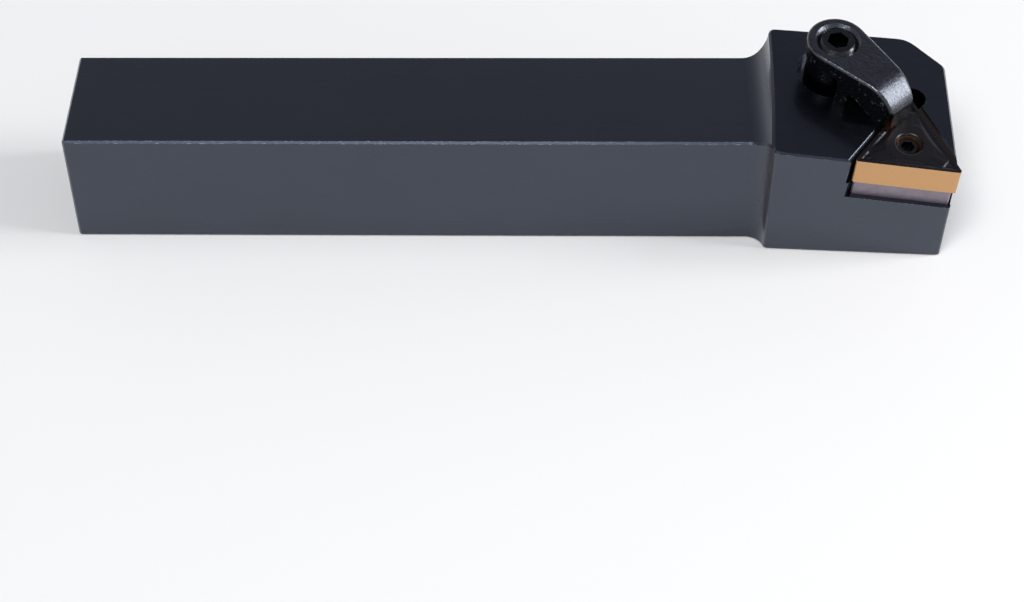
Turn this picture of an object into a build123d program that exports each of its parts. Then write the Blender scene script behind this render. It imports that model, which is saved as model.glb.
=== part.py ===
from build123d import *
from math import acos, atan2, cos, hypot, radians, sin, sqrt, tan
import os

# Turning tool holder with a clamped triangular carbide insert, left-hand version.
# Millimetres. X runs along the shank towards the cutting tip, Y across it with the
# cutting edge on the -Y side, Z up. The origin is the centre of the shank's underside.

os.makedirs("parts", exist_ok=True)

# ---- Shank ----------------------------------------------------------------------
shank_length = 104.0
shank_width = 20.0
shank_height = 20.0
edge_break = 0.3

# ---- Neck and head --------------------------------------------------------------
neck_lead = 1.1
neck_run = 2.9
neck_lean = 2.7
sweep_lead = 0.2
sweep_skew = 3.0
head_length = 26.6
front_step = 2.5
back_step = 2.1
front_relief = 2.5
end_angle = 2.6
end_relief = 4.3
corner_cut_length = 4.3
corner_cut_angle = 43.5
back_corner_round = 4.0
end_corner_round = 1.5
front_corner_round = 0.5
neck_corner_round = 0.8

# ---- Insert ---------------------------------------------------------------------
inscribed_circle = 9.525
insert_thickness = 4.76
nose_radius = 0.4
insert_hole = 3.81
hole_rim = 0.5
rim_land = 0.5
breaker_depth = 0.22
breaker_waist = 1.7
plateau_reach = 3.3
plateau_end_width = 2.2

# ---- Seat: where the insert's sharp corner stands out from the head, and its lean
tip_overhang = 2.7
edge_overhang = 2.5
tip_drop = 1.45
edge_angle = 3.0
inclination = 6.0
rake = 6.0
head_drop = 0.2

# ---- Pocket and shim ------------------------------------------------------------
wall_gap = 0.35
wall_break = 0.55
relief_diameter = 4.0
relief_shift = 0.5
shim_thickness = 3.18
shim_inset = 0.25
shim_shift = 0.2
shim_turn = 115.0
shim_corner_radius = 0.4
shim_hole = 4.6
shim_gap = 0.1
ledge_drop = 0.25

# ---- Lock pin -------------------------------------------------------------------
pin_thread = 5.0
pin_thread_length = 8.0
pin_shoulder = 4.4
pin_nose = 3.5
pin_nose_shift = 0.12
pin_nose_depth = 0.7
pin_chamfer = 0.3
pin_socket = 1.9
pin_socket_depth = 1.6

# ---- Clamp ----------------------------------------------------------------------
clamp_along = -12.2
clamp_across = 13.0
clamp_turn = -41.5
clamp_height = 7.0
clamp_head = 9.5
clamp_head_thickness = 2.9
boss_diameter = 8.2
boss_depth = 1.8
clamp_reach = 14.1
nose_width = 5.1
nose_corner = 0.7
nose_end_height = 3.6
nose_pad = 1.8
bend_length = 5.1
arch_height = 2.8
arch_flat = 1.2
heel_start = 4.3
heel_length = 2.0
clamp_edge_round = 0.5
recess_diameter = 10.6

# ---- Clamp screw ----------------------------------------------------------------
screw_diameter = 6.0
screw_length = 21.0
screw_chamfer = 0.5
screw_socket = 3.0
screw_socket_depth = 3.0
screw_waist = 4.8
screw_waist_length = 2.0
screw_mouth = 7.0
screw_mouth_angle = 90.0

# ---- Clearances -----------------------------------------------------------------
thread_clearance = 0.05
boss_floor_clearance = 0.3
drill_room = 1.5
edge_tolerance = 0.01

# ---- Places worked out from the sizes above -------------------------------------
shank_rear = -shank_length / 2
shank_end = shank_length / 2
half_width = shank_width / 2
neck_start = shank_end + neck_lead
head_start = neck_start + neck_run
head_end = head_start + head_length
block_height = 2 * shank_height
inradius = inscribed_circle / 2

along = radians(edge_angle)
drop = radians(inclination)
lean = radians(rake)
edge_direction = Vector(cos(along) * cos(drop), -sin(along) * cos(drop), -sin(drop))
across_direction = Vector(sin(along) * cos(lean), cos(along) * cos(lean), sin(lean))
seat_normal = edge_direction.cross(across_direction).normalized()
inward_direction = seat_normal.cross(edge_direction)
sharp_corner = Vector(
    head_end + tip_overhang,
    -(half_width + front_step + edge_overhang),
    shank_height - tip_drop,
)
seat_centre = sharp_corner - edge_direction * (inradius * sqrt(3)) + inward_direction * inradius

insert_top = Plane(origin=seat_centre, x_dir=edge_direction, z_dir=seat_normal)
head_top = insert_top.offset(-head_drop)
shim_top = insert_top.offset(-insert_thickness)
pocket_floor = shim_top.offset(-shim_thickness)
pocket_depth = insert_thickness + shim_thickness

turn = radians(clamp_turn)
clamp_foot = seat_centre + edge_direction * clamp_along + inward_direction * clamp_across
clamp_direction = edge_direction * cos(turn) + inward_direction * sin(turn)
clamp_plane = Plane(origin=clamp_foot, x_dir=clamp_direction, z_dir=seat_normal)
clamp_side = Plane(origin=clamp_foot, x_dir=clamp_direction, z_dir=clamp_direction.cross(seat_normal))
bend_start = clamp_reach - bend_length
screw_depth = screw_length - clamp_height


def crossing(line_a, line_b):
    """Where two lines in plan meet; each is a point and a direction angle."""
    (xa, ya, angle_a), (xb, yb, angle_b) = line_a, line_b
    ua, va = cos(radians(angle_a)), sin(radians(angle_a))
    ub, vb = cos(radians(angle_b)), sin(radians(angle_b))
    travel = ((xb - xa) * vb - (yb - ya) * ub) / (ua * vb - va * ub)
    return xa + travel * ua, ya + travel * va


def height_on(plane, x, y):
    """Height of a leaning plane above a point of the base."""
    normal = plane.z_dir
    centre = plane.origin
    return centre.Z - ((x - centre.X) * normal.X + (y - centre.Y) * normal.Y) / normal.Z


def turned(x, y, angle):
    """A point of the seat's plan, turned about the seat's centre."""
    return Vector(x, y).rotate(Axis.Z, angle)


def triangle(wall, centre=Vector(0, 0)):
    """Equilateral triangle in plan, one side along the cutting edge, its sides a wall away."""
    return [centre + turned(2 * wall, 0, angle) for angle in (-30, 90, 210)]


def pocket_plan(wall, centre=Vector(0, 0)):
    """The same triangle, run on past the cutting edge so that the pocket is open there."""
    tip, corner, heel = triangle(wall, centre)
    return [corner, corner + (heel - corner) * 2, corner + (tip - corner) * 2]


def head_outline(height):
    """Plan of the neck and head at a height above the base."""
    corner_x = head_start + height * tan(radians(neck_lean))
    front_y = -(half_width + front_step + height * tan(radians(front_relief)))
    back_y = half_width + back_step
    end_x = head_end + height * tan(radians(end_relief))
    cut_start = (head_end - corner_cut_length, back_y)
    front_line = (head_start, front_y, -edge_angle)
    end_line = (end_x, 0, 90 + end_angle)
    neck_corner = crossing(front_line, (corner_x, 0, 90))
    front_corner = crossing(front_line, end_line)
    end_corner = crossing(end_line, (*cut_start, -corner_cut_angle))
    with BuildSketch(Plane.XY.offset(height)) as outline:
        with BuildLine():
            TangentArc((neck_start, -half_width), neck_corner, tangent=(1, 0))
            Polyline(neck_corner, front_corner, end_corner, cut_start, (corner_x, back_y))
            TangentArc((neck_start, half_width), (corner_x, back_y), tangent=(1, 0))
            Polyline(
                (neck_start, half_width),
                (shank_end - neck_run, half_width),
                (shank_end - neck_run, -half_width),
                (neck_start, -half_width),
            )
        make_face()
        for corner, radius in (
            (neck_corner, neck_corner_round),
            ((corner_x, back_y), neck_corner_round),
            (front_corner, front_corner_round),
            (end_corner, end_corner_round),
            (cut_start, back_corner_round),
        ):
            fillet(outline.vertices().sort_by_distance(Vector(*corner, height))[0], radius)
    return outline.sketch


# ---- Holder body: square shank, widened head, pocket and clamp recess -----------
with BuildPart() as holder_body:
    loft([head_outline(0), head_outline(block_height)], ruled=True)
    split(bisect_by=head_top, keep=Keep.BOTTOM)

    # Concave sweep from the shank's top up to the leaning top of the head.
    skew = radians(sweep_skew)
    sweep_start = neck_start + sweep_lead - half_width * tan(skew)
    sweep_top = head_start + shank_height * tan(radians(neck_lean))
    rise = height_on(head_top, sweep_top, 0) - shank_height
    sweep_radius = ((sweep_top - sweep_start) ** 2 + rise**2) / (2 * rise)
    sweep_plane = Plane(
        origin=(sweep_start, 0, shank_height),
        x_dir=(cos(skew), sin(skew), 0),
        z_dir=(sin(skew), -cos(skew), 0),
    )
    with BuildSketch(sweep_plane):
        with BuildLine():
            RadiusArc((0, 0), (sweep_radius, sweep_radius), -sweep_radius)
            Polyline(
                (sweep_radius, sweep_radius),
                (sweep_radius, block_height),
                (-shank_length, block_height),
                (-shank_length, 0),
                (0, 0),
            )
        make_face()
    extrude(amount=2 * shank_width, both=True, mode=Mode.SUBTRACT)

    with BuildSketch(Plane.YZ.offset(shank_rear)):
        with Locations((0, shank_height / 2)):
            Rectangle(shank_width, shank_height)
    extrude(amount=shank_length)

    # Every outer edge is broken by a small chamfer before the pocket and recess are cut.
    def is_rim(edge):
        middle = edge.center()
        ends = [Vector(*end) for end in edge.vertices()]
        at_base = middle.Z < edge_tolerance
        at_rear = middle.X < shank_rear + edge_tolerance
        on_head = all(abs(head_top.to_local_coords(end).Z) < edge_tolerance for end in ends)
        over_shank = all(end.Z > shank_height - edge_tolerance for end in ends)
        on_side = abs(middle.Y) > half_width - edge_tolerance
        return at_base or at_rear or on_head or (over_shank and on_side)

    chamfer(holder_body.edges().filter_by(is_rim), edge_break)

    # Triangular pocket, open along the cutting edge: the shim lies close between the
    # lower walls, and the insert stands a gap away from the upper ones.
    shim_centre = turned(shim_shift, 0, shim_turn)
    shim_wall = inradius - shim_inset
    for floor, walls, centre in (
        (pocket_floor, shim_wall + shim_gap, shim_centre),
        (shim_top.offset(-ledge_drop), inradius + wall_gap, Vector(0, 0)),
    ):
        with BuildSketch(floor):
            Polygon(*pocket_plan(walls, centre), align=None)
        extrude(amount=pocket_depth + inradius, mode=Mode.SUBTRACT)
    with BuildSketch(pocket_floor):
        with Locations((relief_shift, inscribed_circle)):
            Circle(relief_diameter / 2)
    extrude(amount=pocket_depth + inradius, mode=Mode.SUBTRACT)
    for rise in (-wall_break, wall_break):
        with BuildSketch(head_top.offset(rise)):
            Polygon(*pocket_plan(inradius + wall_gap + wall_break + rise), align=None)
    loft(mode=Mode.SUBTRACT)

    # Round recess for the clamp's boss, and the two threaded holes.
    with BuildSketch(clamp_plane.offset(-boss_depth - boss_floor_clearance)):
        Circle(recess_diameter / 2)
    extrude(amount=boss_depth + inradius, mode=Mode.SUBTRACT)
    with Locations(clamp_plane.offset(-boss_depth)):
        Hole(screw_diameter / 2 + thread_clearance, depth=screw_depth - boss_depth + drill_room)
    with Locations(pocket_floor):
        Hole(pin_thread / 2 + thread_clearance, depth=block_height)
holder_body.part.label = "holder_body"
export_step(holder_body.part, "parts/holder_body.step")

# ---- Shim: carbide plate on the pocket's floor, a little smaller than the insert -
with BuildPart() as shim:
    with BuildSketch(pocket_floor) as shim_plan:
        Polygon(*triangle(shim_wall, shim_centre), align=None)
        fillet(shim_plan.vertices(), shim_corner_radius)
        Circle(shim_hole / 2, mode=Mode.SUBTRACT)
    extrude(amount=shim_thickness)
shim.part.label = "shim"
export_step(shim.part, "parts/shim.step")

# ---- Insert: triangular carbide plate with a sunk chip breaker on both faces -----
with BuildPart() as insert:
    with BuildSketch(shim_top) as insert_plan:
        Polygon(*triangle(inradius), align=None)
        fillet(insert_plan.vertices(), nose_radius)
    extrude(amount=insert_thickness)
    plateau_end = 2 * inradius - plateau_reach
    for face_plane, direction in ((insert_top, -1), (shim_top, 1)):
        with BuildSketch(face_plane) as groove:
            Polygon(*triangle(inradius - rim_land), align=None)
            fillet(groove.vertices(), nose_radius)
            with BuildLine():
                for corner_angle in (-30, 90, 210):
                    here = turned(plateau_end, plateau_end_width / 2, corner_angle)
                    there = turned(plateau_end, -plateau_end_width / 2, corner_angle + 120)
                    waist = turned(inradius - breaker_waist, 0, corner_angle + 60)
                    Line(turned(plateau_end, -plateau_end_width / 2, corner_angle), here)
                    ThreePointArc(here, waist, there)
            make_face(mode=Mode.SUBTRACT)
        extrude(amount=direction * breaker_depth, mode=Mode.SUBTRACT)
    with Locations(insert_top):
        Hole(insert_hole / 2, depth=insert_thickness)
    round_edges = insert.edges().filter_by(GeomType.CIRCLE)
    hole_edges = round_edges.filter_by(lambda edge: abs(edge.radius - insert_hole / 2) < edge_tolerance)
    fillet(hole_edges, hole_rim)
insert.part.label = "insert"
export_step(insert.part, "parts/insert.step")

# ---- Lock pin: thread in the body, shoulder in the shim, nose in the insert ------
with BuildPart() as lock_pin:
    for start, length, diameter, shift in (
        (-pocket_depth - pin_thread_length, pin_thread_length, pin_thread, 0),
        (-pocket_depth, shim_thickness, pin_shoulder, 0),
        (-insert_thickness, insert_thickness - pin_nose_depth, pin_nose, -pin_nose_shift),
    ):
        with BuildSketch(insert_top.offset(start)):
            with Locations((shift, 0)):
                Circle(diameter / 2)
        extrude(amount=length)
    pin_axis = Axis(seat_centre, seat_normal)
    chamfer(lock_pin.edges().sort_by(pin_axis)[-1], pin_chamfer)
    chamfer(lock_pin.edges().sort_by(pin_axis)[0], pin_chamfer)
    with BuildSketch(insert_top.offset(-pin_nose_depth)):
        with Locations((-pin_nose_shift, 0)):
            RegularPolygon(pin_socket / 2, side_count=6, major_radius=False)
    extrude(amount=-pin_socket_depth, mode=Mode.SUBTRACT)
lock_pin.part.label = "lock_pin"
export_step(lock_pin.part, "parts/lock_pin.step")

# ---- Clamp: forged finger with a boss in the recess, a heel and a nose -----------
with BuildPart() as clamp:
    head_radius = clamp_head / 2
    nose_edge = nose_width / 2
    flank_angle = atan2(nose_edge, clamp_reach) + acos(head_radius / hypot(nose_edge, clamp_reach))
    flank_x, flank_y = head_radius * cos(flank_angle), head_radius * sin(flank_angle)
    with BuildSketch(clamp_plane.offset(-head_drop)) as plan:
        Circle(head_radius)
        Polygon(
            (flank_x, -flank_y),
            (clamp_reach, -nose_edge),
            (clamp_reach, nose_edge),
            (flank_x, flank_y),
            align=None,
        )
        fillet(plan.vertices().group_by(Axis.X)[-1], nose_corner)
    extrude(amount=clamp_height + head_drop)
    head_underside = clamp_height - clamp_head_thickness
    heel_end = heel_start + heel_length
    with BuildSketch(clamp_side.offset(-clamp_head)) as side:
        with BuildLine():
            TangentArc((bend_start, clamp_height), (clamp_reach, nose_end_height), tangent=(1, 0))
            Polyline(
                (clamp_reach, nose_end_height),
                (clamp_reach, 0),
                (clamp_reach - nose_pad, 0),
                (heel_end + arch_flat, arch_height),
                (heel_end, arch_height),
                (heel_end, -head_drop),
                (heel_start, -head_drop),
                (heel_start, head_underside),
                (-clamp_head, head_underside),
                (-clamp_head, clamp_height),
                (bend_start, clamp_height),
            )
        make_face()
    extrude(amount=2 * clamp_head, mode=Mode.INTERSECT)

    def is_crown(edge):
        middle = clamp_plane.to_local_coords(edge.center())
        across_bend = abs(middle.X - bend_start) < edge_tolerance and abs(middle.Y) < edge_tolerance
        return middle.Z > nose_end_height - edge_tolerance and not across_bend

    crown = clamp.edges().filter_by(is_crown).filter_by(Axis(clamp_foot, seat_normal), reverse=True)
    fillet(crown, clamp_edge_round)
    with BuildSketch(clamp_plane.offset(-boss_depth)):
        Circle(boss_diameter / 2)
    extrude(amount=boss_depth + head_underside)
    with Locations(clamp_plane.offset(clamp_height)):
        CounterSinkHole(
            screw_diameter / 2 + thread_clearance,
            screw_mouth / 2,
            depth=clamp_height + boss_depth,
            counter_sink_angle=screw_mouth_angle,
        )
clamp.part.label = "clamp"
export_step(clamp.part, "parts/clamp.step")

# ---- Clamp screw: opposite threads in the body and the clamp, waist between ------
with BuildPart() as clamp_screw:
    with BuildSketch(clamp_plane.offset(-screw_depth)):
        Circle(screw_diameter / 2)
    extrude(amount=screw_length)
    chamfer(clamp_screw.edges().filter_by(GeomType.CIRCLE), screw_chamfer)
    with BuildSketch(clamp_plane.offset(-boss_depth - screw_waist_length)):
        Circle(screw_diameter)
        Circle(screw_waist / 2, mode=Mode.SUBTRACT)
    extrude(amount=screw_waist_length, mode=Mode.SUBTRACT)
    with BuildSketch(clamp_plane.offset(clamp_height)):
        RegularPolygon(screw_socket / 2, side_count=6, major_radius=False)
    extrude(amount=-screw_socket_depth, mode=Mode.SUBTRACT)
clamp_screw.part.label = "clamp_screw"
export_step(clamp_screw.part, "parts/clamp_screw.step")
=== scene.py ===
import math
import bmesh
import bpy
from mathutils import Euler, Matrix, Vector


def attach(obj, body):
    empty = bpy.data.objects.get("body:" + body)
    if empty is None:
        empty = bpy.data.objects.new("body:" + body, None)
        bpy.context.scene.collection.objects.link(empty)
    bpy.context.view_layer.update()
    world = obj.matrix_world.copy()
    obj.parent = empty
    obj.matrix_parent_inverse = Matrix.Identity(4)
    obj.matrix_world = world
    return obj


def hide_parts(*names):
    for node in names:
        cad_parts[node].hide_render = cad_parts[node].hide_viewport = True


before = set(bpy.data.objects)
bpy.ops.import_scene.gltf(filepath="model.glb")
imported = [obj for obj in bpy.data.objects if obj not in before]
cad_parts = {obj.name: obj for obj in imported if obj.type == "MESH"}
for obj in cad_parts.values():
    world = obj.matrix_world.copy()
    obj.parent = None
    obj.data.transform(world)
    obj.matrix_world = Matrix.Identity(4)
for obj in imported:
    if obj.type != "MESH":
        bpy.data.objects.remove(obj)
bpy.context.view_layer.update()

# ---- Holder body ----------------------------------------------------------------
# The bar of alloy steel that carries everything: a ground square shank with a milled
# head at one end. The whole bar is hardened, then blackened in a hot oxide bath and
# oiled, which leaves a dark blue-grey skin with a soft sheen.
MM = 0.001
OXIDE_DARK = "#2f3643"
OXIDE_LIGHT = "#373e4d"
OXIDE_CLOUD = 14 * MM
SKIN_ROUGHNESS = (0.27, 0.35)
BARE_STEEL = "#7f8288"
BODY_EDGE_WEAR = 0.32 * MM
BODY_CHIPPING = 0.6 * MM
# Real grinding marks are finer than this: they are drawn as coarse as they need to show.
GRINDING_PITCH = 0.3 * MM
GRINDING_LENGTH = 25 * MM
GRINDING_DEPTH = 0.002 * MM
GRINDING_STRENGTH = 0.25
# A noise texture's values mostly lie in this band.
NOISE_LOW = 0.3
NOISE_HIGH = 0.7
# Wear on an edge grows as the cosine between its true and its rounded normal falls, and
# shows where a second noise says that the skin has broken.
BEVEL_SAMPLES = 6
WEAR_STARTS = 0.985
WEAR_FULL = 0.9
SKIN_BREAKS = 0.52
SKIN_GONE = 0.68


def linear(hex_colour):
    """An sRGB hex colour as the linear RGBA that a shader socket takes."""
    channels = [int(hex_colour[i : i + 2], 16) / 255 for i in (1, 3, 5)]
    return [c / 12.92 if c <= 0.04045 else ((c + 0.055) / 1.055) ** 2.4 for c in channels] + [1]


def add_node(tree, kind, settings=None, **inputs):
    """Adds a node. An input gets a value, or a socket to link. i6 is input 6, a Mix's A."""
    node = tree.nodes.new(kind)
    for name, value in (settings or {}).items():
        setattr(node, name, value)
    for name, value in inputs.items():
        by_number = name[0] == "i" and name[1:].isdigit()
        socket = node.inputs[int(name[1:]) if by_number else name.replace("_", " ")]
        if isinstance(value, bpy.types.NodeSocket):
            tree.links.new(value, socket)
        else:
            socket.default_value = value
    return node


def start_material(name, **values):
    """An empty node material, its Principled shader set to the values that are even all over."""
    material = bpy.data.materials.new(name)
    material.use_nodes = True
    tree = material.node_tree
    shader = tree.nodes["Principled BSDF"]
    for socket, value in values.items():
        shader.inputs[socket.replace("_", " ")].default_value = value
    place = add_node(tree, "ShaderNodeTexCoord").outputs["Object"]
    return material, tree, shader, place


def finish_node(node_name, material):
    """Gives every slot of a carried-over solid its finish."""
    for material_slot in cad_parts[node_name].material_slots:
        material_slot.material = material


def worn_edges(tree, place, width, chip):
    """A mask that is 1 on sharp edges where the skin has broken, and 0 elsewhere."""
    bevel = add_node(tree, "ShaderNodeBevel", {"samples": BEVEL_SAMPLES}, Radius=width)
    true_normal = add_node(tree, "ShaderNodeNewGeometry").outputs["Normal"]
    match = add_node(
        tree,
        "ShaderNodeVectorMath",
        {"operation": "DOT_PRODUCT"},
        i0=bevel.outputs[0],
        i1=true_normal,
    )
    sharpness = add_node(
        tree,
        "ShaderNodeMapRange",
        Value=match.outputs["Value"],
        From_Min=WEAR_STARTS,
        From_Max=WEAR_FULL,
    )
    chips = add_node(tree, "ShaderNodeTexNoise", Vector=place, Scale=1 / chip, Detail=3.0)
    broken = add_node(
        tree,
        "ShaderNodeMapRange",
        Value=chips.outputs["Fac"],
        From_Min=SKIN_BREAKS,
        From_Max=SKIN_GONE,
    )
    worn = add_node(
        tree,
        "ShaderNodeMath",
        {"operation": "MULTIPLY"},
        i0=sharpness.outputs[0],
        i1=broken.outputs[0],
    )
    return worn.outputs[0]


# Hot black oxide over ground steel: dark, slightly blue and evenly satin, with faint
# lengthwise grinding marks under the skin and bare steel where edges have been rubbed.
black_oxide, tree, shader, place = start_material(
    "oiled_black_oxide", Metallic=1.0, Coat_Weight=0.85, Coat_Roughness=0.15
)
cloud = add_node(tree, "ShaderNodeTexNoise", Vector=place, Scale=1 / OXIDE_CLOUD, Detail=4.0)
skin = add_node(
    tree,
    "ShaderNodeMix",
    {"data_type": "RGBA"},
    Factor=cloud.outputs["Fac"],
    i6=linear(OXIDE_DARK),
    i7=linear(OXIDE_LIGHT),
)
worn = worn_edges(tree, place, BODY_EDGE_WEAR, BODY_CHIPPING)
colour = add_node(
    tree,
    "ShaderNodeMix",
    {"data_type": "RGBA"},
    Factor=worn,
    i6=skin.outputs[2],
    i7=linear(BARE_STEEL),
)
tree.links.new(colour.outputs[2], shader.inputs["Base Color"])
lengthwise = add_node(
    tree,
    "ShaderNodeMapping",
    Vector=place,
    Scale=(1 / GRINDING_LENGTH, 1 / GRINDING_PITCH, 1 / GRINDING_PITCH),
)
marks = add_node(tree, "ShaderNodeTexNoise", Vector=lengthwise.outputs[0], Scale=1.0, Detail=2.0)
sheen = add_node(
    tree,
    "ShaderNodeMapRange",
    Value=marks.outputs["Fac"],
    From_Min=NOISE_LOW,
    From_Max=NOISE_HIGH,
    To_Min=SKIN_ROUGHNESS[0],
    To_Max=SKIN_ROUGHNESS[1],
)
tree.links.new(sheen.outputs[0], shader.inputs["Roughness"])
relief = add_node(
    tree,
    "ShaderNodeBump",
    Height=marks.outputs["Fac"],
    Distance=GRINDING_DEPTH,
    Strength=GRINDING_STRENGTH,
)
tree.links.new(relief.outputs[0], shader.inputs["Normal"])
finish_node("holder_body", black_oxide)

# ---- Shim -----------------------------------------------------------------------
# A plate of bare sintered carbide under the insert. Its faces are ground flat, so it is
# a cool mid grey, and it lies loose in the pocket round the lock pin.
CARBIDE_DARK = "#857b86"
CARBIDE_LIGHT = "#a39aa4"
CARBIDE_CLOUD = 1.2 * MM
# Real grinding scratches are finer than this: they are drawn coarse enough to show.
SCRATCH_PITCH = 0.25 * MM
SCRATCH_LENGTH = 2.5 * MM
SCRATCH_DEPTH = 0.01 * MM

# Cemented carbide, surface ground: a dull, slightly mauve grey metal whose fine scratches
# spread the light evenly.
ground_carbide, tree, shader, place = start_material("ground_carbide", Metallic=1.0, Roughness=0.6)
cloud = add_node(tree, "ShaderNodeTexNoise", Vector=place, Scale=1 / CARBIDE_CLOUD, Detail=5.0)
grey = add_node(
    tree,
    "ShaderNodeMix",
    {"data_type": "RGBA"},
    Factor=cloud.outputs["Fac"],
    i6=linear(CARBIDE_DARK),
    i7=linear(CARBIDE_LIGHT),
)
tree.links.new(grey.outputs[2], shader.inputs["Base Color"])
scratch_space = add_node(
    tree,
    "ShaderNodeMapping",
    Vector=place,
    Scale=(1 / SCRATCH_LENGTH, 1 / SCRATCH_PITCH, 1 / SCRATCH_PITCH),
)
scratches = add_node(
    tree, "ShaderNodeTexNoise", Vector=scratch_space.outputs[0], Scale=1.0, Detail=2.0
)
relief = add_node(
    tree, "ShaderNodeBump", Height=scratches.outputs["Fac"], Distance=SCRATCH_DEPTH
)
tree.links.new(relief.outputs[0], shader.inputs["Normal"])
finish_node("shim", ground_carbide)

# ---- Insert ---------------------------------------------------------------------
# The indexable cutting insert: carbide powder pressed with its chip breaker, sintered,
# coated gold all over and then black on its two faces. It stands on the shim, round the
# lock pin, and its land, groove and plateau are the same on both faces.

# The outline, in millimetres: the mesh is drawn lying flat, then scaled and seated.
INRADIUS = 9.525 / 2
INSERT_THICKNESS = 4.76
NOSE_RADIUS = 0.4
HOLE_RADIUS = 3.81 / 2
HOLE_MOUTH = 4.7 / 2
SIDE_ANGLES = [math.radians(angle) for angle in (-90, 30, 150)]
TIP_ANGLES = [math.radians(angle) for angle in (-30, 90, 210)]

# The seat: where the insert's sharp corner would stand, and how the insert leans.
SHARP_CORNER = Vector((85.3, -15.0, 18.55))
EDGE_ANGLE = math.radians(3)
INCLINATION = math.radians(6)
RAKE = math.radians(6)

# The pressed chip breaker, from the cutting edge inwards.
LAND_WIDTH = 0.5
LAND_STEP = 0.4
GROOVE_DEPTH = 0.22
WALL_WIDTH = 0.9
WAIST = 1.7
WAIST_END = 0.7
WAIST_HALF_LENGTH = 4.84
PLATEAU_END = 3.3
PLATEAU_END_SLOPE = 0.5
STEP_RADIUS = 3.7
STEP_WIDTH = 0.6
STEP_DEPTH = 0.05
RIB_HALF_WIDTH = 0.25
RIB_SLOPE = 0.5
RIB_SINK = 0.25
TIP_BUMP_PLACE = 2.2
TIP_BUMP_RADIUS = 0.75
TIP_BUMP_HEIGHT = 0.13
DIMPLE_PITCH = 1.3
DIMPLE_PLACE = 0.42
DIMPLE_RADIUS = 0.26
DIMPLE_DEPTH = 0.07

# The mesh: its cells along an edge are CELLS squared. A nose's arc reaches as far to each
# side as the cosine says, and the coats and smooth shading part at a slope and a turn.
CELLS = 12
NOSE_ARC_COSINE = 0.5
MERGE_DISTANCE = 0.001
COATED_SLOPE = 0.2
SHARP_TURN = math.radians(40)


def ease(value, start, end):
    """0 before start and 1 after end, with a soft slope between."""
    share = min(max((value - start) / (end - start), 0.0), 1.0)
    return share * share * (3 - 2 * share)


def breaker_height(x, y):
    """Height of the pressed face, in mm from the top of the land, at a place in plan."""
    from_side, side = min((INRADIUS - x * math.cos(a) - y * math.sin(a), a) for a in SIDE_ANGLES)
    along_side = y * math.cos(side) - x * math.sin(side)
    from_tip, tip = min((2 * INRADIUS - x * math.cos(a) - y * math.sin(a), a) for a in TIP_ANGLES)
    off_line = abs(y * math.cos(tip) - x * math.sin(tip))
    from_hole = math.hypot(x, y)

    plateau_side = WAIST - (WAIST - WAIST_END) * (along_side / WAIST_HALF_LENGTH) ** 2
    on_plateau = ease(from_side, plateau_side - WALL_WIDTH, plateau_side) * ease(
        from_tip, PLATEAU_END - PLATEAU_END_SLOPE, PLATEAU_END
    )
    past_land = ease(from_side, LAND_WIDTH, LAND_WIDTH + LAND_STEP)
    height = -GROOVE_DEPTH * past_land * (1 - on_plateau)

    past_step = ease(from_hole, STEP_RADIUS, STEP_RADIUS + STEP_WIDTH)
    off_rib = ease(off_line, RIB_HALF_WIDTH, RIB_HALF_WIDTH + RIB_SLOPE)
    height -= STEP_DEPTH * past_step * on_plateau * (RIB_SINK + (1 - RIB_SINK) * off_rib)

    from_bump = math.hypot(from_tip - TIP_BUMP_PLACE, off_line)
    height += TIP_BUMP_HEIGHT * past_land * (1 - ease(from_bump, 0, TIP_BUMP_RADIUS))
    for place_along in (-DIMPLE_PITCH, 0, DIMPLE_PITCH):
        from_dimple = math.hypot(along_side - place_along, from_side - DIMPLE_PLACE)
        height -= DIMPLE_DEPTH * (1 - ease(from_dimple, 0, DIMPLE_RADIUS))

    rounding = HOLE_MOUTH - HOLE_RADIUS
    into_mouth = min(max(HOLE_MOUTH - from_hole, 0), rounding)
    return height - (rounding - math.sqrt(rounding**2 - into_mouth**2))


def trim(mesh, centre, radius, is_waste):
    """Removes faces that are all waste, and draws the others' waste corners to the arc."""
    waste = [f for f in mesh.faces if all(is_waste(v.co) for v in f.verts)]
    bmesh.ops.delete(mesh, geom=waste, context="FACES")
    for vertex in mesh.verts:
        if is_waste(vertex.co):
            vertex.co = centre + (vertex.co - centre).normalized() * radius


insert_mesh = bmesh.new()
bmesh.ops.create_circle(insert_mesh, cap_ends=True, segments=3, radius=2 * INRADIUS)
for _ in range(2):
    bmesh.ops.subdivide_edges(
        insert_mesh, edges=insert_mesh.edges[:], cuts=CELLS - 1, use_grid_fill=True
    )
trim(insert_mesh, Vector(), HOLE_RADIUS, lambda point: point.length < HOLE_RADIUS)
for angle in TIP_ANGLES:
    outward = Vector((math.cos(angle), math.sin(angle), 0))
    nose = outward * 2 * (INRADIUS - NOSE_RADIUS)
    trim(
        insert_mesh,
        nose,
        NOSE_RADIUS,
        lambda point: (point - nose).length > NOSE_RADIUS
        and (point - nose).dot(outward) > NOSE_ARC_COSINE * (point - nose).length,
    )
for vertex in insert_mesh.verts:
    vertex.co.z = INSERT_THICKNESS / 2 + breaker_height(vertex.co.x, vertex.co.y)
rims = [edge for edge in insert_mesh.edges if edge.is_boundary]
skirt = bmesh.ops.extrude_edge_only(insert_mesh, edges=rims)["geom"]
for vertex in skirt:
    if isinstance(vertex, bmesh.types.BMVert):
        vertex.co.z = 0
bmesh.ops.mirror(
    insert_mesh,
    geom=insert_mesh.verts[:] + insert_mesh.edges[:] + insert_mesh.faces[:],
    merge_dist=MERGE_DISTANCE,
    axis="Z",
)
bmesh.ops.recalc_face_normals(insert_mesh, faces=insert_mesh.faces[:])
for face in insert_mesh.faces:
    face.smooth = True
    face.material_index = 0 if abs(face.normal.z) > COATED_SLOPE else 1
for edge in insert_mesh.edges:
    edge.smooth = edge.calc_face_angle(0) < SHARP_TURN

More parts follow.
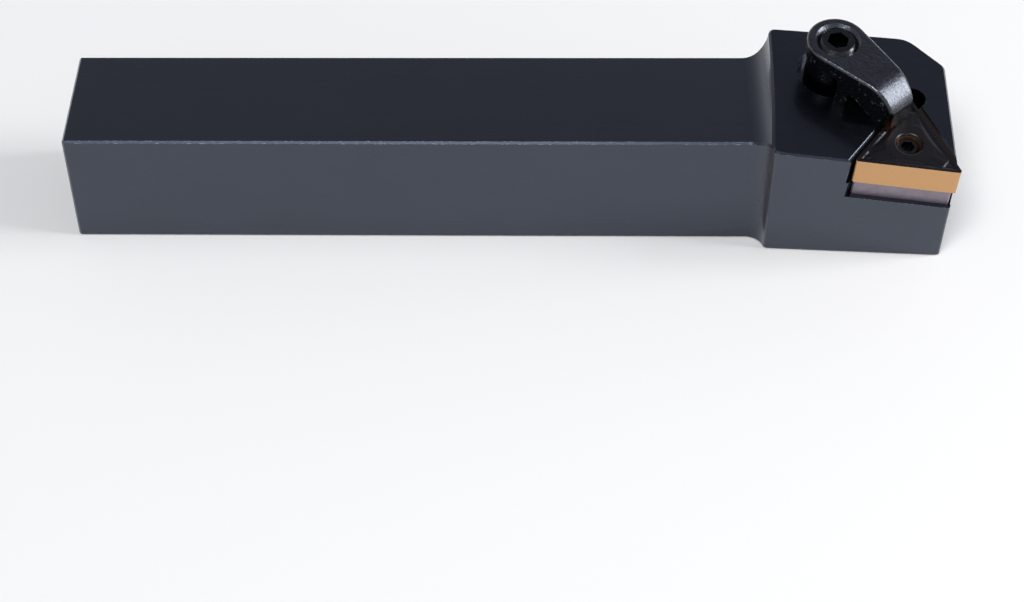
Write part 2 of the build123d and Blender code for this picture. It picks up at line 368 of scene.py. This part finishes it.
edge_direction = Vector(
    (
        math.cos(EDGE_ANGLE) * math.cos(INCLINATION),
        -math.sin(EDGE_ANGLE) * math.cos(INCLINATION),
        -math.sin(INCLINATION),
    )
)
across_direction = Vector(
    (math.sin(EDGE_ANGLE) * math.cos(RAKE), math.cos(EDGE_ANGLE) * math.cos(RAKE), math.sin(RAKE))
)
seat_normal = edge_direction.cross(across_direction).normalized()
inward_direction = seat_normal.cross(edge_direction)
seat_centre = SHARP_CORNER - edge_direction * INRADIUS * math.sqrt(3) + inward_direction * INRADIUS
seat = Matrix((edge_direction, inward_direction, seat_normal)).transposed().to_4x4()
seat.translation = seat_centre - seat_normal * INSERT_THICKNESS / 2
bmesh.ops.transform(insert_mesh, matrix=Matrix.Scale(MM, 4) @ seat, verts=insert_mesh.verts[:])
insert_data = bpy.data.meshes.new("coated_insert")
insert_mesh.to_mesh(insert_data)
insert_mesh.free()
coated_insert = bpy.data.objects.new("coated_insert", insert_data)
bpy.context.scene.collection.objects.link(coated_insert)

# Black alumina over the pressed faces: a thin hard ceramic skin, nearly black, with a
# soft sheen. The grain of the pressed powder is drawn as coarse as it needs to show.
ALUMINA_DARK = "#09090f"
ALUMINA_LIGHT = "#141319"
ALUMINA_GRAIN = 0.12 * MM
ALUMINA_DEPTH = 0.004 * MM
ALUMINA_ROUGHNESS = (0.24, 0.34)
black_alumina, tree, shader, place = start_material("black_alumina_coat", IOR=1.45)
grain = add_node(tree, "ShaderNodeTexNoise", Vector=place, Scale=1 / ALUMINA_GRAIN, Detail=3.0)
dark = add_node(
    tree,
    "ShaderNodeMix",
    {"data_type": "RGBA"},
    Factor=grain.outputs["Fac"],
    i6=linear(ALUMINA_DARK),
    i7=linear(ALUMINA_LIGHT),
)
tree.links.new(dark.outputs[2], shader.inputs["Base Color"])
sheen = add_node(
    tree,
    "ShaderNodeMapRange",
    Value=grain.outputs["Fac"],
    From_Min=NOISE_LOW,
    From_Max=NOISE_HIGH,
    To_Min=ALUMINA_ROUGHNESS[0],
    To_Max=ALUMINA_ROUGHNESS[1],
)
tree.links.new(sheen.outputs[0], shader.inputs["Roughness"])
relief = add_node(tree, "ShaderNodeBump", Height=grain.outputs["Fac"], Distance=ALUMINA_DEPTH)
tree.links.new(relief.outputs[0], shader.inputs["Normal"])

# Gold titanium nitride on the ground sides and in the hole: a warm metal, evenly satin,
# whose fine grain is drawn as coarse as it needs to show.
NITRIDE_DARK = "#c5996a"
NITRIDE_LIGHT = "#cfa376"
NITRIDE_GRAIN = 0.2 * MM
gold_nitride, tree, shader, place = start_material(
    "gold_titanium_nitride", Metallic=1.0, Roughness=0.42
)
grain = add_node(tree, "ShaderNodeTexNoise", Vector=place, Scale=1 / NITRIDE_GRAIN, Detail=3.0)
gold = add_node(
    tree,
    "ShaderNodeMix",
    {"data_type": "RGBA"},
    Factor=grain.outputs["Fac"],
    i6=linear(NITRIDE_DARK),
    i7=linear(NITRIDE_LIGHT),
)
tree.links.new(gold.outputs[2], shader.inputs["Base Color"])
insert_data.materials.append(black_alumina)
insert_data.materials.append(gold_nitride)
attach(coated_insert, "holder")
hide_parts("insert")

# ---- Lock pin -------------------------------------------------------------------
# The threaded pin through the shim and the insert's hole, of blackened screw steel. Its
# nose pulls the insert against the pocket's walls, and a hex socket turns it.
SCREW_DARK = "#212327"
SCREW_LIGHT = "#3a3d43"
SCREW_GRAIN = 0.35 * MM
SCREW_ROUGHNESS = (0.2, 0.32)
RUBBED_SCREW = "#8b8c90"
SCREW_EDGE_WEAR = 0.2 * MM
SCREW_CHIPPING = 0.5 * MM

# Black oxide over cold-formed screw steel, well oiled: darker and glossier than the
# body, slightly uneven, and rubbed bright on its edges.
blackened_screw, tree, shader, place = start_material(
    "blackened_screw_steel", Metallic=1.0, Coat_Weight=0.7, Coat_Roughness=0.1
)
grain = add_node(tree, "ShaderNodeTexNoise", Vector=place, Scale=1 / SCREW_GRAIN, Detail=3.0)
black = add_node(
    tree,
    "ShaderNodeMix",
    {"data_type": "RGBA"},
    Factor=grain.outputs["Fac"],
    i6=linear(SCREW_DARK),
    i7=linear(SCREW_LIGHT),
)
worn = worn_edges(tree, place, SCREW_EDGE_WEAR, SCREW_CHIPPING)
colour = add_node(
    tree,
    "ShaderNodeMix",
    {"data_type": "RGBA"},
    Factor=worn,
    i6=black.outputs[2],
    i7=linear(RUBBED_SCREW),
)
tree.links.new(colour.outputs[2], shader.inputs["Base Color"])
sheen = add_node(
    tree,
    "ShaderNodeMapRange",
    Value=grain.outputs["Fac"],
    From_Min=NOISE_LOW,
    From_Max=NOISE_HIGH,
    To_Min=SCREW_ROUGHNESS[0],
    To_Max=SCREW_ROUGHNESS[1],
)
tree.links.new(sheen.outputs[0], shader.inputs["Roughness"])
finish_node("lock_pin", blackened_screw)

# ---- Clamp ----------------------------------------------------------------------
# The finger that presses on the insert: a hot steel forging with rounded edges, tumbled
# and blackened. The screw holds it down, its boss turns in the head's recess, and its
# heel bears on the head.
# The top's colours, and the near black painted on the sides as painted shade.
TOP_TONE_DARK = "#3d4149"
TOP_TONE_LIGHT = "#52565f"
SHADED_SIDE_BLACK = "#1b1b1e"
BARE_FORGING = "#8f9095"
FORGING_ROUGHNESS = (0.24, 0.4)
CLAMP_EDGE_WEAR = 0.3 * MM
CLAMP_CHIPPING = 0.9 * MM
FORGE_GRAIN = 0.4 * MM
FORGE_DENT = 1.6 * MM
FORGE_DEPTH = 0.03 * MM
# The Z of a face's normal at which it starts to count as top, and counts wholly.
TOP_STARTS = 0.1
TOP_FULL = 0.6
# The oil film is thin on the sides and thick on top, where it lies in streaks that run
# along the finger.
OIL_ON_SIDES = 0.15
OIL_ON_TOP = 0.7
STREAK_LENGTH = 4 * MM
STREAK_PITCH = 0.35 * MM
STREAK_DEPTH = 0.07 * MM
CLAMP_TURN = math.radians(-44.5)
# Scale flakes off where grain times dents is above these values, and never wholly.
FLAKES_START = 0.36
FLAKES_FULL = 0.46
FLAKE_STRENGTH = 0.7
FLAKE_DEPTH = 0.05 * MM
# A little rust at the front corner of the nose, broken up by the grain.
RUST = "#804628"
RUST_PLACE = Vector((75.0, -7.9, 21.4)) * MM
RUST_REACH = 2.2 * MM
RUST_STARTS = 0.1
RUST_FULL = 0.35
RUST_STRENGTH = 0.7

# Forging scale blackened in the oxide bath: dented and uneven. The top is oiled and glossy; the
# sides carry less oil and a few bare flakes, and the edges are rubbed bright. The sides are also
# painted near black by the way they face: painted shade, which leaves the top looking greyer.
forged_black, tree, shader, place = start_material(
    "forged_black_steel", Metallic=1.0, Coat_Roughness=0.12
)
grain = add_node(tree, "ShaderNodeTexNoise", Vector=place, Scale=1 / FORGE_GRAIN, Detail=4.0)
dents = add_node(tree, "ShaderNodeTexNoise", Vector=place, Scale=1 / FORGE_DENT, Detail=2.0)
top_tone = add_node(
    tree,
    "ShaderNodeMix",
    {"data_type": "RGBA"},
    Factor=dents.outputs["Fac"],
    i6=linear(TOP_TONE_DARK),
    i7=linear(TOP_TONE_LIGHT),
)
# Painted shade: the less a face looks up, the nearer its colour goes to the shaded side black,
# which stands in for the shade and dark reflections on the sides.
facing = add_node(tree, "ShaderNodeNewGeometry").outputs["Normal"]
upward = add_node(tree, "ShaderNodeSeparateXYZ", Vector=facing).outputs["Z"]
painted_shade_by_facing = add_node(
    tree, "ShaderNodeMapRange", Value=upward, From_Min=TOP_STARTS, From_Max=TOP_FULL
)
black = add_node(
    tree,
    "ShaderNodeMix",
    {"data_type": "RGBA"},
    Factor=painted_shade_by_facing.outputs[0],
    i6=linear(SHADED_SIDE_BLACK),
    i7=top_tone.outputs[2],
)
worn = worn_edges(tree, place, CLAMP_EDGE_WEAR, CLAMP_CHIPPING)
side = add_node(
    tree,
    "ShaderNodeMapRange",
    Value=upward,
    From_Min=TOP_STARTS,
    From_Max=TOP_FULL,
    To_Min=1.0,
    To_Max=0.0,
)
cluster = add_node(
    tree,
    "ShaderNodeMath",
    {"operation": "MULTIPLY"},
    i0=grain.outputs["Fac"],
    i1=dents.outputs["Fac"],
)
flaked = add_node(
    tree,
    "ShaderNodeMapRange",
    Value=cluster.outputs[0],
    From_Min=FLAKES_START,
    From_Max=FLAKES_FULL,
    To_Max=FLAKE_STRENGTH,
)
flakes = add_node(
    tree, "ShaderNodeMath", {"operation": "MULTIPLY"}, i0=side.outputs[0], i1=flaked.outputs[0]
)
bare = add_node(
    tree, "ShaderNodeMath", {"operation": "MAXIMUM"}, i0=worn, i1=flakes.outputs[0]
)
rubbed = add_node(
    tree,
    "ShaderNodeMix",
    {"data_type": "RGBA"},
    Factor=bare.outputs[0],
    i6=black.outputs[2],
    i7=linear(BARE_FORGING),
)
rust_space = add_node(
    tree,
    "ShaderNodeMapping",
    {"vector_type": "TEXTURE"},
    Vector=place,
    Location=RUST_PLACE,
    Scale=(RUST_REACH, RUST_REACH, RUST_REACH),
)
rust_spot = add_node(
    tree,
    "ShaderNodeTexGradient",
    {"gradient_type": "SPHERICAL"},
    Vector=rust_space.outputs[0],
)
rust_edge = add_node(
    tree,
    "ShaderNodeMath",
    {"operation": "MULTIPLY"},
    i0=rust_spot.outputs["Fac"],
    i1=grain.outputs["Fac"],
)
rust = add_node(
    tree,
    "ShaderNodeMapRange",
    Value=rust_edge.outputs[0],
    From_Min=RUST_STARTS,
    From_Max=RUST_FULL,
    To_Max=RUST_STRENGTH,
)
colour = add_node(
    tree,
    "ShaderNodeMix",
    {"data_type": "RGBA"},
    Factor=rust.outputs[0],
    i6=rubbed.outputs[2],
    i7=linear(RUST),
)
tree.links.new(colour.outputs[2], shader.inputs["Base Color"])
sheen = add_node(
    tree,
    "ShaderNodeMapRange",
    Value=grain.outputs["Fac"],
    From_Min=NOISE_LOW,
    From_Max=NOISE_HIGH,
    To_Min=FORGING_ROUGHNESS[0],
    To_Max=FORGING_ROUGHNESS[1],
)
tree.links.new(sheen.outputs[0], shader.inputs["Roughness"])
drawn_space = add_node(
    tree,
    "ShaderNodeMapping",
    {"vector_type": "TEXTURE"},
    Vector=place,
    Rotation=(0, 0, CLAMP_TURN),
    Scale=(STREAK_LENGTH, STREAK_PITCH, STREAK_LENGTH),
)
streaks = add_node(
    tree, "ShaderNodeTexNoise", Vector=drawn_space.outputs[0], Scale=1.0, Detail=3.0
)
surface = add_node(
    tree,
    "ShaderNodeMath",
    {"operation": "ADD"},
    i0=grain.outputs["Fac"],
    i1=dents.outputs["Fac"],
)
oil = add_node(
    tree,
    "ShaderNodeMapRange",
    Value=upward,
    From_Min=TOP_STARTS,
    From_Max=TOP_FULL,
    To_Min=OIL_ON_SIDES,
    To_Max=OIL_ON_TOP,
)
tree.links.new(oil.outputs[0], shader.inputs["Coat Weight"])
relief = add_node(tree, "ShaderNodeBump", Height=surface.outputs[0], Distance=FORGE_DEPTH)
flake_relief = add_node(
    tree,
    "ShaderNodeBump",
    Height=flakes.outputs[0],
    Distance=FLAKE_DEPTH,
    Normal=relief.outputs[0],
)
tree.links.new(flake_relief.outputs[0], shader.inputs["Normal"])
film = add_node(
    tree,
    "ShaderNodeMath",
    {"operation": "ADD"},
    i0=grain.outputs["Fac"],
    i1=streaks.outputs["Fac"],
)
film_relief = add_node(tree, "ShaderNodeBump", Height=film.outputs[0], Distance=STREAK_DEPTH)
tree.links.new(film_relief.outputs[0], shader.inputs["Coat Normal"])
finish_node("clamp", forged_black)

# ---- Clamp screw ----------------------------------------------------------------
# The double-threaded screw that pulls the clamp down into the head, with a hex socket in
# its end. It is of the same blackened steel as the lock pin.
finish_node("clamp_screw", blackened_screw)

# ---- Camera ---------------------------------------------------------------------
# A view from in front and above with a long lens. Its angles, in degrees, are its tilt up
# from straight down, its heading and its roll about the line of sight.
CAMERA_PLACE = Vector((37.083, -317.417, 302.573)) * MM
CAMERA_FROM_DOWN = 44.174
CAMERA_AZIMUTH = 3.885
CAMERA_ROLL = -2.519
CAMERA_LENS = 96.407
CAMERA_SENSOR = 36.0
CLIP_START = 10 * MM
CLIP_END = 20

camera_data = bpy.data.cameras.new("camera")
camera_data.lens = CAMERA_LENS
camera_data.sensor_width = CAMERA_SENSOR
camera_data.sensor_fit = "HORIZONTAL"
camera_data.clip_start = CLIP_START
camera_data.clip_end = CLIP_END
camera = bpy.data.objects.new("camera", camera_data)
camera.location = CAMERA_PLACE
turn = Euler((math.radians(CAMERA_FROM_DOWN), 0, math.radians(CAMERA_AZIMUTH))).to_matrix()
roll = Euler((0, 0, math.radians(CAMERA_ROLL))).to_matrix()
camera.rotation_euler = (turn @ roll).to_euler()
bpy.context.scene.collection.objects.link(camera)
bpy.context.scene.camera = camera

# ---- Floor and light ------------------------------------------------------------
# A white matt table in a pale studio. The room is pale near the floor and darker above. A
# square soft box stands high in front as the key light, and a tall narrow one on the right.
FLOOR_SIZE = 6.0
TABLE_WHITE = "#f7f7f7"
# The room's brightness by height, from the horizon at 0 to straight up at 1.
ROOM_LIGHT = (
    (0.0, (0.95, 0.95, 0.95)),
    (0.3, (0.6, 0.6, 0.61)),
    (0.55, (0.34, 0.345, 0.37)),
    (0.72, (0.23, 0.24, 0.27)),
    (0.84, (0.1, 0.105, 0.125)),
    (1.0, (0.09, 0.095, 0.115)),
)
# Each soft box: its name, its place, the point it looks at, its width and height in
# metres, and its power in watts.
SOFT_BOXES = (
    ("key_box", (-0.15, -0.6, 1.15), (0.03, 0, 0), 0.5, 0.5, 8.9),
    ("side_box", (0.9, -0.03, 0.42), (0.03, 0, 0.02), 0.35, 0.85, 7.5),
)

bpy.ops.mesh.primitive_plane_add(size=FLOOR_SIZE)
floor = bpy.context.object
floor.name = "floor"
matt_white = start_material(
    "matt_white_table", Roughness=0.9, Base_Color=linear(TABLE_WHITE), Specular_IOR_Level=0.0
)[0]
floor.data.materials.append(matt_white)

world = bpy.data.worlds.new("studio")
world.use_nodes = True
bpy.context.scene.world = world
room = world.node_tree
direction = add_node(room, "ShaderNodeTexCoord").outputs["Generated"]
up = add_node(room, "ShaderNodeSeparateXYZ", Vector=direction).outputs["Z"]
walls = add_node(room, "ShaderNodeValToRGB", Fac=up)
ramp = walls.color_ramp
while len(ramp.elements) < len(ROOM_LIGHT):
    ramp.elements.new(1.0)
for element, (height, colour) in zip(ramp.elements, ROOM_LIGHT):
    element.position = height
    element.color = (*colour, 1)
room.links.new(walls.outputs["Color"], room.nodes["Background"].inputs["Color"])

for name, place, aim, width, height, power in SOFT_BOXES:
    lamp_data = bpy.data.lights.new(name, "AREA")
    lamp_data.shape = "RECTANGLE"
    lamp_data.size = width
    lamp_data.size_y = height
    lamp_data.energy = power
    lamp = bpy.data.objects.new(name, lamp_data)
    lamp.location = place
    lamp.rotation_euler = (Vector(place) - Vector(aim)).to_track_quat("Z", "Y").to_euler()
    bpy.context.scene.collection.objects.link(lamp)

bpy.context.scene.view_settings.view_transform = "Standard"
